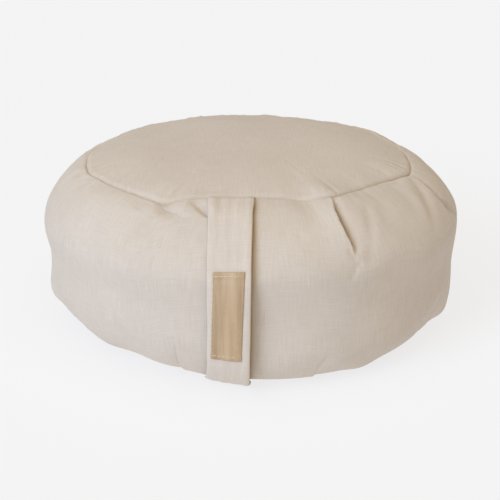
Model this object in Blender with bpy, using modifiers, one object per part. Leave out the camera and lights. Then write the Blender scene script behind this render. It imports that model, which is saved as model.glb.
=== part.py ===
"""Round meditation cushion with a carry strap down its front and a blank woven label on the strap.

The frame is in metres, with +Z up and the front towards -Y. The origin is on the floor, under the
middle of the cushion. An azimuth runs from -Y towards +X, so the middle of the front is at azimuth 0,
and the strap hangs a little west of it.
"""

import math
from collections import namedtuple

import bmesh
import bpy
import numpy as np
from mathutils import Vector

CLEARANCE = 0.0003  # between the wall and the strap, where they touch
LABEL_CLEARANCE = 0.0005  # between the strap's faces, which bend, and the label

# The cover
MIDDLE_HEIGHT = 0.148  # of the dome over the average seam
CORNER_SOFTNESS = 3.0  # degrees over which a seam corner is rounded
SEAM_GROOVE = 0.0016
SEAM_GROOVE_WIDTH = 0.0022
CROWN_HEIGHT = 0.0135
CROWN_RADIUS = 0.150
CROWN_POWER = 3.0  # above 2, the top panel is flat in the middle and steep near its seam
CROWN_EDGE_POWER = 9.0  # the higher, the nearer the seam the panel comes down to it
BELLY_HEIGHT = 0.100  # where the wall is widest
DRAW_IN = 1.6  # how soon below the belly the wall has drawn in to its foot, 1 being last
FLAT_RADIUS = 0.110  # within this the underside is flat all round

# One row for each pleat of the top seam. Azimuths, leans and sways are in degrees, the rest in metres.
# radius places the seam at the pleat, and bow is how far the seam bows out between it and the next
# pleat. lean is how far round the fold wanders, bend how far down it has done so, reach where it ends,
# and sway how far it turns aside just before that. peak is the share of its reach at which it is
# deepest. lap is positive where the fold's lip lies over the cloth towards larger azimuths, negative
# where it lies the other way, and 1 for a whole overlap. partner is the azimuth of the pleat below it
# in the bottom seam.
Pleat = namedtuple("Pleat", "azimuth radius bow lean bend sway reach peak lip valley lap partner")
PLEATS = [
    Pleat(-160, 0.150, 0.009, 2, 0.060, 0, 0.060, 0.40, 0.0005, 0.0030, 0.4, -164),
    Pleat(-114, 0.148, 0.011, -2, 0.055, 0, 0.055, 0.40, 0.0005, 0.0025, 0.4, -119),
    Pleat(-68.5, 0.152, 0.004, -3, 0.045, 0, 0.045, 0.40, 0.0000, 0.0000, 0.0, -56),
    Pleat(-29, 0.148, -0.001, 13, 0.030, 0, 0.034, 0.35, 0.0030, 0.0040, -0.2, -20),
    Pleat(26, 0.1425, 0.000, -2.1, 0.020, 2.2, 0.058, 0.62, 0.0030, 0.0100, 1, 17),
    Pleat(70.6, 0.1475, 0.006, -2.5, 0.020, 0, 0.062, 0.35, 0.0020, 0.0040, 0.5, 58),
    Pleat(109, 0.1445, 0.007, -2, 0.055, 0, 0.055, 0.40, 0.0005, 0.0030, 0.4, 105),
    Pleat(150, 0.148, 0.010, 2, 0.060, 0, 0.060, 0.40, 0.0005, 0.0030, 0.4, 151),
]
# One row for each rise or fall of the top seam round the cushion, by azimuth.
Hem = namedtuple("Hem", "azimuth height")
HEMS = [
    Hem(-160, 0.1510),
    Hem(-137, 0.1500),
    Hem(-114, 0.1475),
    Hem(-91, 0.1482),
    Hem(-68.5, 0.1490),
    Hem(-48, 0.1475),
    Hem(-29, 0.1460),
    Hem(-20, 0.1500),
    Hem(0, 0.1500),
    Hem(11, 0.1495),
    Hem(19, 0.1465),
    Hem(27, 0.1500),
    Hem(49, 0.1500),
    Hem(70.6, 0.1495),
    Hem(90, 0.1480),
    Hem(109, 0.1465),
    Hem(130, 0.1500),
    Hem(150, 0.1490),
    Hem(175, 0.1510),
]
LEAN_POWER = 1.5  # above 1, a fold leans more and more along its reach
SWAY_POWER = 4.0
LIP_WIDTH = 0.014
VALLEY_WIDTH = 0.009
LAP_LENGTH = 0.0012  # how far a lip reaches over its valley
LAP_WIDTH = 0.003  # how far round that overlap is felt
BOTTOM_START = 0.165  # how far down the wall the bottom seam's pleats begin
BOTTOM_PEAK = 0.35
BOTTOM_LIP = 0.0010
BOTTOM_VALLEY = 0.0035

# One row for each soft fold of the wall, drawn from one point of it to another, by the azimuths and
# by the distances down the wall. A negative lift is a trough.
Drag = namedtuple("Drag", "azimuth down to_azimuth to_down lift width")
DRAGS = [
    Drag(-28, down=0.014, to_azimuth=-37.5, to_down=0.062, lift=-0.0028, width=0.006),
    Drag(36, down=0.018, to_azimuth=31, to_down=0.062, lift=-0.0011, width=0.006),
    Drag(68, down=0.002, to_azimuth=76, to_down=0.066, lift=-0.0030, width=0.006),
    Drag(67, down=0.002, to_azimuth=54, to_down=0.070, lift=-0.0022, width=0.007),
]

# One row for each swelling or hollow of the wall, by azimuth and distance down it.
Bulge = namedtuple("Bulge", "azimuth down lift width")
BULGES = [
    Bulge(-76, down=0.133, lift=0.0050, width=0.014),
    Bulge(-60, down=0.147, lift=-0.0018, width=0.009),
    Bulge(-48, down=0.162, lift=0.0022, width=0.016),
    Bulge(33, down=0.178, lift=0.0024, width=0.014),
    Bulge(55, down=0.152, lift=-0.0020, width=0.008),
    Bulge(71, down=0.148, lift=0.0026, width=0.010),
]

# One row for each lump of the top panel near its seam, by its place on the panel.
Tuft = namedtuple("Tuft", "east north lift width")
TUFTS = [
    Tuft(0.055, -0.117, lift=0.0018, width=0.013),
    Tuft(-0.080, -0.112, lift=0.0012, width=0.016),
    Tuft(0.120, -0.052, lift=0.0014, width=0.018),
]

# One row for each section of the wall. shoulder and heel are the powers of its curves above the
# belly and at the foot: 2 is an ellipse and 1 a straight slope. Then come its radii at the belly and
# at the foot, the height at which the foot starts to turn under, and how far in it turns.
Section = namedtuple("Section", "azimuth shoulder belly foot turn tuck heel")
SECTIONS = [
    Section(-172, shoulder=1.52, belly=0.1945, foot=0.191, turn=0.036, tuck=0.042, heel=2.0),
    Section(-137, shoulder=1.50, belly=0.1925, foot=0.189, turn=0.036, tuck=0.042, heel=2.0),
    Section(-107, shoulder=1.44, belly=0.1910, foot=0.187, turn=0.030, tuck=0.036, heel=1.7),
    Section(-94, shoulder=1.42, belly=0.1900, foot=0.1865, turn=0.036, tuck=0.040, heel=1.5),
    Section(-84, shoulder=1.42, belly=0.1900, foot=0.1855, turn=0.042, tuck=0.044, heel=1.5),
    Section(-62, shoulder=1.50, belly=0.1910, foot=0.185, turn=0.048, tuck=0.050, heel=1.8),
    Section(-40, shoulder=1.58, belly=0.1900, foot=0.185, turn=0.058, tuck=0.057, heel=2.0),
    Section(-22, shoulder=1.58, belly=0.1900, foot=0.186, turn=0.052, tuck=0.051, heel=2.0),
    Section(-7, shoulder=1.58, belly=0.1900, foot=0.187, turn=0.044, tuck=0.044, heel=2.0),
    Section(13, shoulder=1.58, belly=0.1900, foot=0.187, turn=0.040, tuck=0.040, heel=2.0),
    Section(37, shoulder=1.58, belly=0.1900, foot=0.187, turn=0.040, tuck=0.041, heel=2.0),
    Section(58, shoulder=1.52, belly=0.1905, foot=0.186, turn=0.046, tuck=0.045, heel=2.0),
    Section(77, shoulder=1.44, belly=0.1900, foot=0.187, turn=0.034, tuck=0.036, heel=1.8),
    Section(90, shoulder=1.42, belly=0.1900, foot=0.187, turn=0.030, tuck=0.036, heel=1.7),
    Section(123, shoulder=1.46, belly=0.1920, foot=0.189, turn=0.036, tuck=0.042, heel=2.0),
    Section(158, shoulder=1.52, belly=0.1945, foot=0.191, turn=0.036, tuck=0.042, heel=2.0),
]

# The mesh of the cover
COLUMNS_PER_PLEAT = 12
COLUMN_CROWDING = 0.86  # 0 spaces the columns evenly, 1 crowds them at the pleats
CROWN_SHARES = [0.20, 0.40, 0.57, 0.70, 0.80, 0.87, 0.92, 0.96, 0.988]
WALL_RINGS = 34
WALL_CROWDING = 1.3  # above 1, the rings crowd at the top seam
BOTTOM_SHARES = [0.70, 0.35]
PROFILE_STEPS = 16

# The carry strap
STRAP_THICKNESS = 0.0018
STRAP_TOP = 0.005  # how far its ends lie down the wall from the top seam
STRAP_BOTTOM = 0.190
STRAP_ROWS = 30
STRAP_COLUMNS = 4
# One row for each change in how the strap hangs, by the distance down from the top seam: the gaps
# behind its two edges, its width, and how far east of the front's middle its own middle is.
Slack = namedtuple("Slack", "down west_gap east_gap width east")
SLACKS = [
    Slack(0.000, west_gap=0.0000, east_gap=0.0000, width=0.0382, east=-0.0157),
    Slack(0.010, west_gap=0.0000, east_gap=0.0006, width=0.0372, east=-0.0160),
    Slack(0.030, west_gap=0.0002, east_gap=0.0022, width=0.0354, east=-0.0165),
    Slack(0.075, west_gap=0.0010, east_gap=0.0046, width=0.0342, east=-0.0170),
    Slack(0.118, west_gap=0.0045, east_gap=0.0080, width=0.0338, east=-0.0174),
    Slack(0.150, west_gap=0.0050, east_gap=0.0084, width=0.0340, east=-0.0181),
    Slack(0.175, west_gap=0.0016, east_gap=0.0050, width=0.0354, east=-0.0190),
    Slack(0.190, west_gap=0.0003, east_gap=0.0012, width=0.0382, east=-0.0194),
]

# The woven label's two sewn ends, by their heights
LABEL_THICKNESS = 0.0010
LABEL_ROWS = 24
LABEL_COLUMNS = 3
End = namedtuple("End", "height width east")
LABEL_TOP = End(0.1085, width=0.0246, east=-0.0173)
LABEL_BOTTOM = End(0.0390, width=0.0240, east=-0.0200)

# The materials, as base colours
COVER_COLOUR = (0.66, 0.60, 0.52)
STRAP_COLOUR = (0.68, 0.61, 0.53)
LABEL_COLOUR = (0.56, 0.39, 0.21)
CLOTH_ROUGHNESS = 0.9
LABEL_ROUGHNESS = 0.55


def turn_between(azimuth, other):
    """The turn from one azimuth to another, from -180 to 180 degrees."""
    return (other - azimuth + 180) % 360 - 180


def smooth(share):
    """An eased share, which starts and ends gently."""
    share = min(1.0, max(0.0, share))
    return share * share * (3 - 2 * share)


def between(rows, azimuth):
    """The rows on both sides of an azimuth, and the share of the way from one to the other."""
    for row, following in zip(rows, rows[1:] + rows[:1]):
        span = turn_between(row.azimuth, following.azimuth) % 360
        passed = turn_between(row.azimuth, azimuth) % 360
        if passed < span:
            return row, following, passed / span
    return rows[0], rows[1], 0.0


def row_at(rows, azimuth):
    """A row of an azimuth table, read smoothly from those beside it."""
    row, following, share = between(rows, azimuth)
    share = smooth(share)
    return type(row)(*(first * (1 - share) + second * share for first, second in zip(row, following)))


def slack_at(down):
    """How the strap hangs at a distance down it."""
    for above, below in zip(SLACKS, SLACKS[1:]):
        if down <= below.down:
            share = smooth((down - above.down) / (below.down - above.down))
            return Slack(*(first + (second - first) * share for first, second in zip(above, below)))
    return SLACKS[-1]


def seam_chord(azimuth):
    """The radius at an azimuth of the seam between the pleats beside it, bow and all."""
    first, second, share = between(PLEATS, azimuth)
    span = math.radians(turn_between(first.azimuth, second.azimuth))
    here = span * share
    across = first.radius * second.radius * math.sin(span)
    along = first.radius * math.sin(here) + second.radius * math.sin(span - here)
    return across / along + first.bow * math.sin(math.pi * share)


def seam_radius(azimuth):
    """The radius of the seam, with its corners rounded."""
    steps = (-1.0, -0.5, 0.0, 0.5, 1.0)
    return sum(seam_chord(azimuth + CORNER_SOFTNESS * step) for step in steps) / len(steps)


def wall_profile(azimuth):
    """The wall's section, as points (radius, height) from the top seam to the flat underside."""
    seam, top = seam_radius(azimuth), row_at(HEMS, azimuth).height
    section = row_at(SECTIONS, azimuth)
    quarter = [math.pi / 2 * step / PROFILE_STEPS for step in range(PROFILE_STEPS + 1)]
    points = []
    for angle in quarter:
        out = math.sin(angle) ** (2 / section.shoulder)
        up = abs(math.cos(angle)) ** (2 / section.shoulder)
        points.append((seam + (section.belly - seam) * out, BELLY_HEIGHT + (top - BELLY_HEIGHT) * up))
    for step in range(1, PROFILE_STEPS):
        share = step / PROFILE_STEPS
        radius = section.belly + (section.foot - section.belly) * smooth(share * DRAW_IN)
        points.append((radius, BELLY_HEIGHT + (section.turn - BELLY_HEIGHT) * share))
    for angle in quarter:
        inward = 1 - abs(math.cos(angle)) ** (2 / section.heel)
        down = math.sin(angle) ** (2 / section.heel)
        points.append((section.foot - section.tuck * inward, section.turn * (1 - down)))
    points.append((FLAT_RADIUS, 0.0))
    return np.array(points)


def along_profile(points, down):
    """The place, the outward direction and the whole length of a section, at a distance down it."""
    lengths = np.concatenate([[0.0], np.cumsum(np.linalg.norm(np.diff(points, axis=0), axis=1))])

    def place(where):
        where = min(max(where, 0.0), lengths[-1])
        return np.array([np.interp(where, lengths, points[:, axis]) for axis in (0, 1)])

    tangent = place(down + SEAM_GROOVE_WIDTH) - place(down - SEAM_GROOVE_WIDTH)
    tangent /= np.linalg.norm(tangent)
    return place(down), np.array([-tangent[1], tangent[0]]), lengths[-1]


def fold_azimuth(pleat, down):
    """Where a pleat's fold has wandered to at a distance down the wall."""
    leant = pleat.azimuth + pleat.lean * min(1.0, down / pleat.bend) ** LEAN_POWER
    leant += pleat.sway * min(1.0, down / pleat.reach) ** SWAY_POWER
    share = smooth((down - pleat.reach) / (BOTTOM_START - pleat.reach))
    return leant + turn_between(leant, pleat.partner) * share


def fold_shape(across, lap, lip, valley):
    """A fold's lift and push round, at a distance across it. Its lip lies over its valley."""
    ahead = across * math.copysign(1.0, lap)
    push = lap * LAP_LENGTH * math.exp(-abs(across) / LAP_WIDTH)
    if ahead <= 0.0:
        return lip * math.exp(ahead / LIP_WIDTH), push
    return -valley * math.exp(-ahead / VALLEY_WIDTH), -push


def fold_fade(share, peak):
    """A fold's strength along it: full at its peak, and nothing at its two ends."""
    if not 0.0 < share < 1.0:
        return 0.0
    return math.sin(math.pi * share ** (math.log(0.5) / math.log(peak)))


def drag_lift(drag, azimuth, radius, down):
    """The lift of a soft fold, which is strongest halfway along and fades to both sides."""
    share = (down - drag.down) / (drag.to_down - drag.down)
    if not 0.0 < share < 1.0:
        return 0.0
    middle = drag.azimuth + turn_between(drag.azimuth, drag.to_azimuth) * share
    across = math.radians(turn_between(middle, azimuth)) * radius
    return drag.lift * math.sin(math.pi * share) * math.exp(-((across / drag.width) ** 2))


def folds(azimuth, radius, down, length):
    """The lift and the push round of the folds at a point of the wall."""
    lift, push = 0.0, 0.0
    for pleat in PLEATS:
        across = math.radians(turn_between(fold_azimuth(pleat, down), azimuth)) * radius
        fade = fold_fade(down / pleat.reach, pleat.peak)
        if fade:
            raised, pushed = fold_shape(across, pleat.lap, pleat.lip, pleat.valley)
            lift, push = lift + raised * fade, push + pushed * fade
        fade = fold_fade((length - down) / (length - BOTTOM_START), BOTTOM_PEAK)
        if fade:
            raised, pushed = fold_shape(across, pleat.lap, BOTTOM_LIP, BOTTOM_VALLEY)
            lift, push = lift + raised * fade, push + pushed * fade
    for drag in DRAGS:
        lift += drag_lift(drag, azimuth, radius, down)
    for bulge in BULGES:
        across = math.radians(turn_between(bulge.azimuth, azimuth)) * radius
        lift += bulge.lift * math.exp(-(across**2 + (down - bulge.down) ** 2) / bulge.width**2)
    return lift, push


def placed(azimuth, radius, height, push=0.0):
    """A point of the frame from an azimuth, a radius, a height and a push round."""
    turn = math.radians(azimuth)
    outward = Vector((math.sin(turn), -math.cos(turn), 0))
    sideways = Vector((math.cos(turn), math.sin(turn), 0))
    return outward * radius + sideways * push + Vector((0, 0, height))


def wall_point(azimuth, down):
    """A point of the wall, at a distance down it from the top seam."""
    (radius, height), (out, up), length = along_profile(wall_profile(azimuth), down)
    lift, push = folds(azimuth, radius, down, length)
    lift -= SEAM_GROOVE * math.exp(-down / SEAM_GROOVE_WIDTH)
    return placed(azimuth, radius + out * lift, max(0.0, height + up * lift), push)


def dome_height(radius):
    """The height of the top panel's dome, seams aside."""
    return MIDDLE_HEIGHT + CROWN_HEIGHT * (1 - (radius / CROWN_RADIUS) ** CROWN_POWER)


def crown_point(azimuth, share):
    """A point of the top panel, at a share of the way from its middle to its seam."""
    edge = seam_radius(azimuth)
    drop = dome_height(edge) - row_at(HEMS, azimuth).height
    height = dome_height(edge * share) - drop * share**CROWN_EDGE_POWER
    height -= SEAM_GROOVE * math.exp(-(1 - share) * edge / SEAM_GROOVE_WIDTH)
    point = placed(azimuth, edge * share, height)
    for tuft in TUFTS:
        away = (point.x - tuft.east) ** 2 + (point.y - tuft.north) ** 2
        point.z += tuft.lift * math.exp(-away / tuft.width**2)
    return point


def column_azimuth(column, down):
    """The azimuth of a column of the mesh. Columns crowd at the pleats and follow their folds."""
    index, step = divmod(column, COLUMNS_PER_PLEAT)
    even = step / COLUMNS_PER_PLEAT
    share = even - COLUMN_CROWDING * math.sin(2 * math.pi * even) / (2 * math.pi)
    start = fold_azimuth(PLEATS[index], down)
    end = fold_azimuth(PLEATS[(index + 1) % len(PLEATS)], down)
    return start + turn_between(start, end) * share


def cover_point(ring, column):
    """The point of the cover at a ring and a column of its mesh, from the crown to the underside."""
    if ring < len(CROWN_SHARES):
        return crown_point(column_azimuth(column, 0.0), CROWN_SHARES[ring])
    ring -= len(CROWN_SHARES)
    length = along_profile(wall_profile(0.0), 0.0)[2]
    if ring <= WALL_RINGS:
        share = (ring / WALL_RINGS) ** WALL_CROWDING
        azimuth = column_azimuth(column, share * length)
        own_length = along_profile(wall_profile(azimuth), 0.0)[2]
        return wall_point(azimuth, share * own_length)
    share = BOTTOM_SHARES[ring - WALL_RINGS - 1]
    return placed(column_azimuth(column, length), FLAT_RADIUS * share, 0.0)


def cushion_mesh():
    """The filled cover: a sphere whose rings and columns are drawn to those of the cushion."""
    columns = COLUMNS_PER_PLEAT * len(PLEATS)
    rings = len(CROWN_SHARES) + WALL_RINGS + 1 + len(BOTTOM_SHARES)
    sphere = bmesh.new()
    bmesh.ops.create_uvsphere(sphere, u_segments=columns, v_segments=rings + 1, radius=1.0)
    for vertex in sphere.verts:
        ring = round(math.acos(max(-1.0, min(1.0, vertex.co.z))) / math.pi * (rings + 1))
        column = round(math.atan2(vertex.co.x, -vertex.co.y) / (2 * math.pi) * columns) % columns
        if ring == 0:
            vertex.co = Vector((0, 0, dome_height(0.0)))
        elif ring == rings + 1:
            vertex.co = Vector((0, 0, 0))
        else:
            vertex.co = cover_point(ring - 1, column)
    return as_mesh("cushion", sphere)


Strip = namedtuple("Strip", "along place out seat width east")


def strap_strip():
    """The strap's rows: each has a place (forward, height), the way out, and the seat of its columns."""
    rows, felt = [], []
    for down in np.linspace(STRAP_TOP, STRAP_BOTTOM, STRAP_ROWS + 1):
        slack = slack_at(down)
        radius = along_profile(wall_profile(0.0), down)[0][0]
        profile = wall_profile(math.degrees(math.asin(slack.east / radius)))
        (radius, height), out, _ = along_profile(profile, down)
        place = np.array([math.sqrt(radius**2 - slack.east**2), height])
        proud = []
        for across in np.linspace(-1, 1, 2 * STRAP_COLUMNS + 1):
            east = slack.east + across * slack.width / 2
            point = wall_point(math.degrees(math.asin(east / radius)), down)
            proud.append((np.array((-point.y, point.z)) - place) @ out)
        felt.append(proud)
        rows.append((down, place, out, slack))
    felt = np.array(felt)
    covered = np.array([felt[max(0, row - 1) : row + 2].max(axis=0) for row in range(len(rows))])
    eased = np.array([covered[max(0, row - 1) : row + 2].mean(axis=0) for row in range(len(rows))])
    strips = []
    for (down, place, out, slack), clear in zip(rows, eased):
        seat = []
        for column in range(STRAP_COLUMNS + 1):
            gap = slack.west_gap + (slack.east_gap - slack.west_gap) * column / STRAP_COLUMNS
            under = clear[max(0, 2 * column - 1) : 2 * column + 2].max()
            seat.append(under + CLEARANCE + gap)
        strips.append(Strip(down, place, out, np.array(seat), slack.width, slack.east))
    return strips


def label_strip(strap):
    """The label's rows, which lie on the strap's outer face."""
    alongs = [row.along for row in strap]

    def blend(values, where):
        return np.array([np.interp(where, alongs, column) for column in np.array(values).T])

    heights = [-row.place[1] for row in strap]
    first, last = (np.interp(-end.height, heights, alongs) for end in (LABEL_TOP, LABEL_BOTTOM))
    strips = []
    for share in np.linspace(0, 1, LABEL_ROWS + 1):
        along = first + (last - first) * share
        place = blend([row.place for row in strap], along)
        out = blend([row.out for row in strap], along)
        seat = blend([row.seat for row in strap], along)
        strap_width = np.interp(along, alongs, [row.width for row in strap])
        strap_east = np.interp(along, alongs, [row.east for row in strap])
        width = LABEL_TOP.width + (LABEL_BOTTOM.width - LABEL_TOP.width) * share
        east = LABEL_TOP.east + (LABEL_BOTTOM.east - LABEL_TOP.east) * share
        easts = east + np.linspace(-width / 2, width / 2, LABEL_COLUMNS + 1)
        across = (easts - strap_east) / (strap_width / 2)
        under = np.interp(across, np.linspace(-1, 1, STRAP_COLUMNS + 1), seat)
        strips.append(Strip(along, place, out, under + STRAP_THICKNESS + LABEL_CLEARANCE, width, east))
    return strips


def band_mesh(name, strips):
    """A sheet whose rows are strips that run down the front."""
    rows, columns = len(strips) - 1, len(strips[0].seat) - 1
    sheet = bmesh.new()
    bmesh.ops.create_grid(sheet, x_segments=columns, y_segments=rows, size=0.5)
    for vertex in sheet.verts:
        strip = strips[round((0.5 - vertex.co.y) * rows)]
        seat = strip.seat[round((vertex.co.x + 0.5) * columns)]
        forward, height = strip.place + strip.out * seat
        height = max(height, STRAP_THICKNESS)
        vertex.co = Vector((strip.east + vertex.co.x * strip.width, -forward, height))
    return as_mesh(name, sheet)


def as_mesh(name, shape):
    """A smooth mesh from a bmesh, with its faces out."""
    shape.normal_update()
    mesh = bpy.data.meshes.new(name)
    shape.to_mesh(mesh)
    shape.free()
    mesh.shade_smooth()
    return mesh


def add_object(collection, mesh, colour, roughness, thickness=0.0):
    """An object of a mesh, with a material of its own. A sheet is thickened outwards."""
    material = bpy.data.materials.new(mesh.name + "_cloth")
    material.use_nodes = True
    shader = material.node_tree.nodes["Principled BSDF"]
    shader.inputs["Base Color"].default_value = (*colour, 1.0)
    shader.inputs["Roughness"].default_value = roughness
    shader.inputs["Metallic"].default_value = 0.0
    mesh.materials.append(material)
    made = bpy.data.objects.new(mesh.name, mesh)
    collection.objects.link(made)
    if thickness:
        solidify = made.modifiers.new("thickness", "SOLIDIFY")
        solidify.thickness = thickness
        solidify.offset = 1.0
        solidify.use_even_offset = True
    return made


def main():
    for old in list(bpy.data.objects):
        bpy.data.objects.remove(old)
    collection = bpy.data.collections.new("meditation_cushion")
    bpy.context.scene.collection.children.link(collection)

    cushion = add_object(collection, cushion_mesh(), COVER_COLOUR, CLOTH_ROUGHNESS)

    strips = strap_strip()
    strap_mesh, label_mesh = band_mesh("strap", strips), band_mesh("label", label_strip(strips))
    strap = add_object(collection, strap_mesh, STRAP_COLOUR, CLOTH_ROUGHNESS, STRAP_THICKNESS)
    label = add_object(collection, label_mesh, LABEL_COLOUR, LABEL_ROUGHNESS, LABEL_THICKNESS)

    strap.parent = cushion
    label.parent = strap


main()
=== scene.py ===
"""The dressed meditation cushion: pleated linen cover, folded carry strap and blank woven label."""

import math
from collections import namedtuple

import bmesh
import bpy
import numpy as np
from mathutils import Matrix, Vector


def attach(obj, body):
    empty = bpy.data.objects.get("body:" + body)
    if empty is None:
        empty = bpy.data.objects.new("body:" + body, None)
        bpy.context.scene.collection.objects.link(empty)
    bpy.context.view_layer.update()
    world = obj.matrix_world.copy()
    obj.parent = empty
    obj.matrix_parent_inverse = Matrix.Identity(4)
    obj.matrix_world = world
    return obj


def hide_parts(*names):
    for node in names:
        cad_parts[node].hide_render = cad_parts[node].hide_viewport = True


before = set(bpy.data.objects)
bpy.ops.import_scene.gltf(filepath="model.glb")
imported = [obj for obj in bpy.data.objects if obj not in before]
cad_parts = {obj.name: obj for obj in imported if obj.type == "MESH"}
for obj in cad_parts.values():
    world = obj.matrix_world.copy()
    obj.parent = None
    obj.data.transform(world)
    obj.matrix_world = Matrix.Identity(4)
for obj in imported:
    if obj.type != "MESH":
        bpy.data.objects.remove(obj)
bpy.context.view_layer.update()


def table(columns, *rows):
    """Rows of values with named columns."""
    return [namedtuple("Row", columns)(*row) for row in rows]


# The photograph's camera, in metres and degrees, in front of the part's axis
CAMERA_ELEVATION = 21.0
CAMERA_DISTANCE = 1.0
CAMERA_AIM_HEIGHT = 0.0553
CAMERA_ASIDE = -0.0011
CAMERA_LENS = 75.9

TINY = 1e-9  # keeps a length that is divided by from being nothing

# The cover: its top panel's crown, and the heights and radii that the wall is drawn from
MIDDLE_HEIGHT = 0.148
CORNER_SOFTNESS = 2.6  # degrees to each side over which the seam's corners are rounded
CROWN_HEIGHT = 0.0135
CROWN_RADIUS = 0.15
CROWN_POWER = 3.0
CROWN_EDGE_POWER = 9.0
BELLY_HEIGHT = 0.1
DRAW_IN = 1.6
FLAT_RADIUS = 0.11

# One row for each pleat, which starts at a corner of the top seam. bow is how far the seam bows out on
# its way to the next one. The fold leans round by so many degrees over the distance bend, sways by so
# many more by the end of its reach, and is strongest at the share peak of it. lap is positive where its
# lip lies over the cloth towards larger azimuths. partner is the azimuth of its pleat in the bottom seam.
PLEATS = table(
    "azimuth radius bow lean bend sway reach peak lip valley lap partner",
    (-160, 0.15, 0.009, 2, 0.06, 0, 0.06, 0.4, 0.0005, 0.003, 0.4, -164),
    (-114, 0.148, 0.011, -2, 0.055, 0, 0.055, 0.4, 0.0005, 0.0025, 0.4, -119),
    (-68.5, 0.152, 0.004, -3, 0.045, 0, 0.045, 0.4, 0.0, 0.0, 0.0, -56),
    (-29, 0.148, -0.001, 13, 0.03, 0, 0.024, 0.35, 0.0008, 0.0014, -0.2, -20),
    (27.6, 0.1425, 0.0, -2.9, 0.02, 1.4, 0.058, 0.62, 0.003, 0.008, 1.4, 17),
    (70.6, 0.1475, 0.006, -2.5, 0.02, 0, 0.062, 0.35, 0.002, 0.004, 0.5, 58),
    (109, 0.1445, 0.007, -2, 0.055, 0, 0.055, 0.4, 0.0005, 0.003, 0.4, 105),
    (150, 0.148, 0.01, 2, 0.06, 0, 0.06, 0.4, 0.0005, 0.003, 0.4, 151),
)
# Heights of the seam round the panel
HEMS = table(
    "azimuth height",
    *((-160, 0.151), (-137, 0.15), (-114, 0.1475), (-91, 0.1482), (-68.5, 0.149), (-48, 0.1475)),
    *((-29, 0.146), (-20, 0.15), (0, 0.15), (11, 0.1495), (19, 0.1465), (27, 0.15), (49, 0.1482)),
    *((70.6, 0.1458), (90, 0.146), (109, 0.146), (130, 0.15), (150, 0.149), (175, 0.151)),
)
LEAN_POWER = 1.5
SWAY_POWER = 4.0
LIP_WIDTH = 0.014
VALLEY_WIDTH = 0.009
LAP_LENGTH = 0.0016
LAP_WIDTH = 0.0025
BOTTOM_START = 0.165
BOTTOM_PEAK = 0.35
BOTTOM_LIP = 0.0010
BOTTOM_VALLEY = 0.0035

# Sections of the wall: how square the shoulder is, the radii of the belly and the foot, the height and
# the depth over which the wall turns under, and how square that turn is
SECTIONS = table(
    "azimuth shoulder belly foot turn tuck heel",
    (-172, 1.52, 0.1945, 0.191, 0.036, 0.042, 2.0),
    (-137, 1.5, 0.1925, 0.189, 0.036, 0.042, 2.0),
    (-107, 1.44, 0.191, 0.187, 0.03, 0.036, 1.7),
    (-94, 1.42, 0.19, 0.1865, 0.036, 0.04, 1.5),
    (-84, 1.42, 0.19, 0.1855, 0.042, 0.044, 1.5),
    (-62, 1.5, 0.191, 0.185, 0.048, 0.05, 1.8),
    (-40, 1.58, 0.19, 0.185, 0.058, 0.057, 2.0),
    (-22, 1.58, 0.19, 0.186, 0.052, 0.051, 2.0),
    (-7, 1.58, 0.19, 0.187, 0.044, 0.044, 2.0),
    (13, 1.58, 0.19, 0.187, 0.04, 0.04, 2.0),
    (37, 1.58, 0.19, 0.187, 0.04, 0.041, 2.0),
    (58, 1.52, 0.1905, 0.186, 0.046, 0.045, 2.0),
    (77, 1.44, 0.19, 0.187, 0.034, 0.036, 1.8),
    (90, 1.42, 0.19, 0.187, 0.03, 0.036, 1.7),
    (123, 1.46, 0.192, 0.189, 0.036, 0.042, 2.0),
    (158, 1.52, 0.1945, 0.191, 0.036, 0.042, 2.0),
)

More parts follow.
